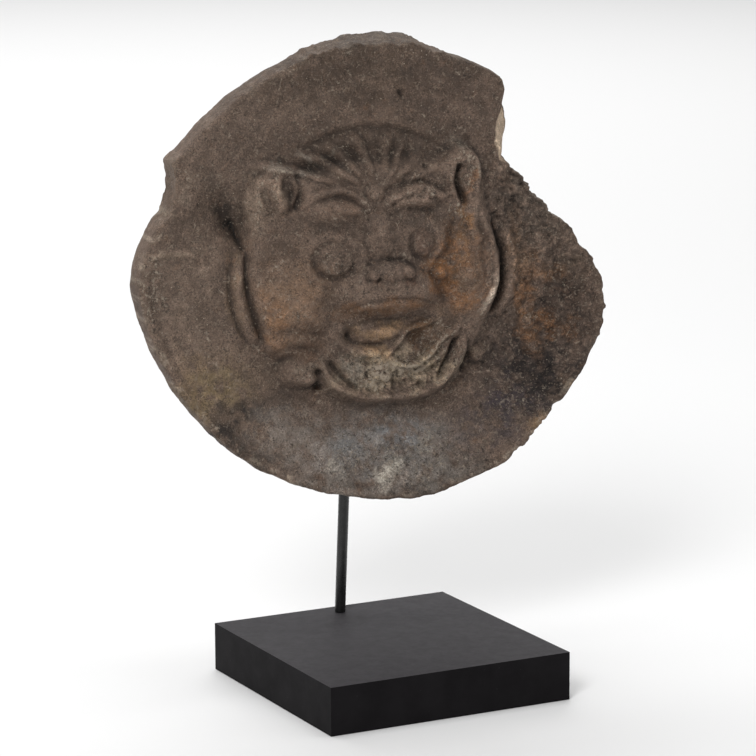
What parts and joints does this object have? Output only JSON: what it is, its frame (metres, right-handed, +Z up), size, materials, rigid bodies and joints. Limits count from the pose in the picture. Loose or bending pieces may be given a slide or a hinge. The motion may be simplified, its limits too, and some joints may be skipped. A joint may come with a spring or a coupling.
{
  "type": "roof end tile",
  "caption": "Broken round fired-clay roof end tile with a moulded beast mask, held upright by a black rod on a square black block.",
  "frame": {"origin": "centre of the base block's underside", "axes": "+Z up; the base block's front faces -Y; +X to the right seen from the front"},
  "size_m": [0.2193, 0.1274, 0.2945],
  "materials": {
    "fired_clay": "matt, unglazed, weathered",
    "black_steel": "semi-gloss black",
    "black_painted_wood": "satin black paint"
  },
  "bodies": {
    "root": {"tile": "fired_clay", "support_rod": "black_steel", "base_block": "black_painted_wood"}
  },
  "joints": []
}
